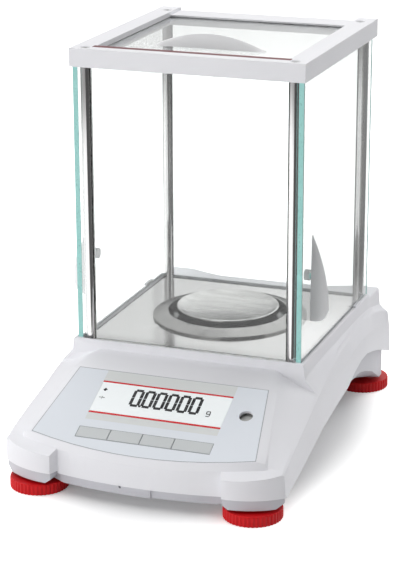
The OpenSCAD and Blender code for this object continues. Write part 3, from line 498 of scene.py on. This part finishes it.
for count in range(figure_count):
    left = figure_left + count * figure_pitch
    for side in (0, figure_w):
        for half in halves:
            bar_at(left + side, figure_foot + half * figure_h, bar_w, upright_share * figure_h)
    for end in (0, figure_h):
        bar_at(left + figure_w / 2, figure_foot + end, level_share * figure_w, bar_w)
bar_at(figure_left + figure_w + point_gap, figure_foot, point_w, point_w)
for side, low in ((-unit_hw, 0.0), (unit_hw, unit_tail)):
    bar_at(unit_x + side, unit_up + (low + unit_top) / 2, unit_stroke, unit_top - low)
for rise in unit_levels:
    bar_at(unit_x, unit_up + rise, 2 * unit_hw, unit_stroke)
for mark_x, mark_up, pitch, thickness, widths in mark_bars:
    for count, width in enumerate(widths):
        bar_at(mark_x, mark_up + (count - 1) * pitch, width, thickness)
bmesh.ops.bevel(shape, geom=shape.verts[:], offset=corner_cut, segments=1, profile=0.5,
                affect="VERTICES", material=-1)
risen = bmesh.ops.extrude_face_region(shape, geom=shape.faces[:])["geom"]
risen = [corner for corner in risen if isinstance(corner, bmesh.types.BMVert)]
bmesh.ops.translate(shape, vec=(0, 0, ink_height), verts=risen)
bmesh.ops.recalc_face_normals(shape, faces=shape.faces)
bmesh.ops.scale(shape, vec=(mm, mm, mm), verts=shape.verts)
bmesh.ops.transform(shape, matrix=on_slope, verts=shape.verts)
ink.paint(placed("display_figures", shape, "display_window"))

# Right of the display a small round window looks down on the spirit level, a clear cap over
# pale liquid.
vial = Finish("level_liquid", (0.50, 0.50, 0.49), 0.06, Coat_Weight=0.5)
vial.tone(vial.noise(120), (0.46, 0.465, 0.45), (0.54, 0.545, 0.53))
vial.paint(eased("spirit_level", ease=0.4))

# The floor of the chamber is a flat sheet of stainless steel, brushed from front to back,
# with a raised collar round the hole that the pan's pin stands in. Under the pan the sheet is painted
# near black: painted shade of the trough.
pan_centre = Vector((0, 40.4, 0)) * mm
flat = (1, 1, 0)
pan_shade_reach = 47 * mm
brushed = Finish("brushed_stainless", (0.50, 0.49, 0.485), 0.3, Metallic=1.0)
hairs = brushed.noise(26, 4, stretch=(60, 1, 1))
brushed.relief(hairs, depth=0.004 * mm, strength=0.3)
brushed.shade(Roughness=0.06 + 0.12 * hairs)
sheet_tone = brushed.mix(hairs, (0.50, 0.49, 0.49), (0.62, 0.61, 0.61))
# Painted shade: the sheet under the pan, in the dark of the trough, is painted near black.
brushed.tone(brushed.distance(flat, pan_centre) < pan_shade_reach, sheet_tone, (0.05, 0.05, 0.05))
brushed.paint(eased("floor_plate", ease=0.15))

# The pan is pressed from stainless steel and polished, most of all along its rim. It lifts
# off: its socket drops over the pin on the cell.
rim_from = 34 * mm
pressed = Finish("polished_stainless", (0.50, 0.495, 0.49), 0.2, Metallic=1.0)
lapping = pressed.noise(120, 4, stretch=(0.25, 1, 1))
rim = pressed.distance(flat, pan_centre) > rim_from
pressed.shade(Roughness=(0.14 + 0.2 * lapping) * (1 - 0.6 * rim))
pressed.tone(lapping, (0.30, 0.295, 0.29), (0.62, 0.615, 0.61))
pressed.relief(lapping, depth=0.001 * mm, strength=0.3)
pressed.paint(eased("weighing_pan", ease=0.3, smooth=20), "pan_support")

# The draft ring is spun from the same steel. It lies loose round the pan and keeps draughts
# from under it. Its inner edge lies in the dark of the trough between them, and is painted near black
# there: painted shade.
trough_shade_from = 46.3 * mm
spun = Finish("spun_stainless", (0.30, 0.295, 0.29), 0.16, Metallic=1.0)
from_centre = spun.node("VectorMath", {"operation": "SUBTRACT"}, {0: spun.place, 1: pan_centre})
turning = spun.node("TexWave", {"wave_type": "RINGS", "rings_direction": "Z"}, {
    "Vector": from_centre, "Scale": 420.0}, output="Fac")
spun.shade(Roughness=0.10 + 0.06 * turning + 0.08 * spun.noise(60, 3))
ring_tone = spun.mix(spun.noise(60, 3), (0.27, 0.265, 0.26), (0.34, 0.335, 0.33))
# Painted shade: inside the trough radius the ring is painted near black.
spun.tone(spun.distance(flat, pan_centre) < trough_shade_from, ring_tone, (0.06, 0.06, 0.06))
spun.relief(turning, depth=0.0005 * mm, strength=0.3)
spun.paint(eased("draft_ring", ease=0.3, smooth=20))

# Four bright steel posts stand in sockets in the deck and carry the top frame. Screws come
# up into them from below and down into them through the frame.
bright_steel = Finish("bright_steel", (0.78, 0.77, 0.77), 0.08, Metallic=1.0)
drawn = bright_steel.noise(40, 3, stretch=(1, 1, 0.05))
bright_steel.shade(Roughness=0.05 + 0.09 * drawn)
bright_steel.relief(bright_steel.noise(700, stretch=(1, 1, 0.04)), depth=0.003 * mm, strength=0.3)
bright_steel.paint(eased("shield_posts", ease=0.2))
plated.paint(eased("post_screws", ease=0.15))

# The top frame is a pressure casting, painted white. Its front rail has a dark red strip
# pressed into its bed, and its slots hold the glass and the top door.
white_paint = Finish("white_satin_paint", (0.86, 0.86, 0.89), 0.36)
orange_peel = white_paint.noise(700)
white_paint.relief(orange_peel, depth=0.02 * mm, strength=0.4)
white_paint.shade(Roughness=0.3 + 0.14 * orange_peel)
white_paint.tone(white_paint.noise(16, 3), (0.84, 0.84, 0.875), (0.88, 0.88, 0.905))
white_paint.paint(eased("top_frame", ease=1.0))
trim_red = Finish("dark_red_strip", (0.10, 0.012, 0.014), 0.4)
trim_red.tone(trim_red.noise(60, 3), (0.085, 0.010, 0.012), (0.14, 0.016, 0.018))
trim_red.shade(Roughness=0.32 + 0.2 * trim_red.noise(500))
trim_red.paint(eased("frame_trim", ease=0.3))

# Five panes of float glass close the chamber. Their faces are clear, and the ground upright
# edges of the side doors show the green of the thick glass and glow with it: the glow is painted light.
# These doors run in the deck and the frame.
side_doors = ("left_door", "right_door")
clear = Finish("clear_float_glass", (0.975, 0.99, 0.985), 0.0, Transmission_Weight=1.0, IOR=1.5)
clear.shade(Roughness=0.004 + 0.01 * clear.noise(9, 3))
# The green is the glass's own; its glow is painted light.
ground_edge = Finish("ground_glass_edge", (0.26, 0.56, 0.53), 0.3, Transmission_Weight=0.3, IOR=1.5,
                     Emission_Color=(0.14, 0.34, 0.32), Emission_Strength=0.5)
ground_edge.tone(ground_edge.noise(60, 3), (0.30, 0.62, 0.58), (0.50, 0.80, 0.77))
ground_edge.shade(Roughness=0.2 + 0.2 * ground_edge.noise(800, 3))
for node in ("front_glass", "rear_glass", "top_door", *side_doors):
    pane = eased(node, ease=0.35)
    pane.data.materials.append(clear.material)
    pane.data.materials.append(ground_edge.material)
    for face in pane.data.polygons:
        on_upright_edge = abs(face.normal[1]) > 0.7
        face.material_index = int(node in side_doors and on_upright_edge)

# The grips are moulded in light grey: a crescent stands across the top door, and each side
# door has a fin outside, held through the glass by a stud and a knob inside. The plug of the
# weigh-below port is moulded in the same grey.
grip_grey = Finish("grip_grey_plastic", (0.92, 0.92, 0.93), 0.42)
grip_grain = grip_grey.noise(1300)
grip_grey.relief(grip_grain, depth=0.02 * mm, strength=0.4)
grip_grey.shade(Roughness=0.34 + 0.16 * grip_grain)
grip_grey.tone(grip_grey.noise(30, 3), (0.90, 0.90, 0.915), (0.94, 0.94, 0.95))
for node in ("top_handle", "left_handle", "right_handle"):
    grip_grey.paint(eased(node, ease=0.25, smooth=50))
for node in ("left_knob", "right_knob", "hook_cover"):
    grip_grey.paint(eased(node, ease=0.4))

# The sockets at the back stand in a black plate: a round power inlet, a serial socket with
# its two jack sockets, and a USB socket.
black_plastic.paint(eased("port_plate", ease=0.3), eased("power_inlet", ease=0.4))
shell_tin = Finish("tinned_shell", (0.62, 0.62, 0.62), 0.28, Metallic=1.0)
shell_tin.shade(Roughness=0.2 + 0.22 * shell_tin.noise(400, 3))
shell_tin.paint(eased("serial_port", ease=0.25), eased("usb_port", ease=0.25))
plated.paint(eased("port_sockets", ease=0.15))
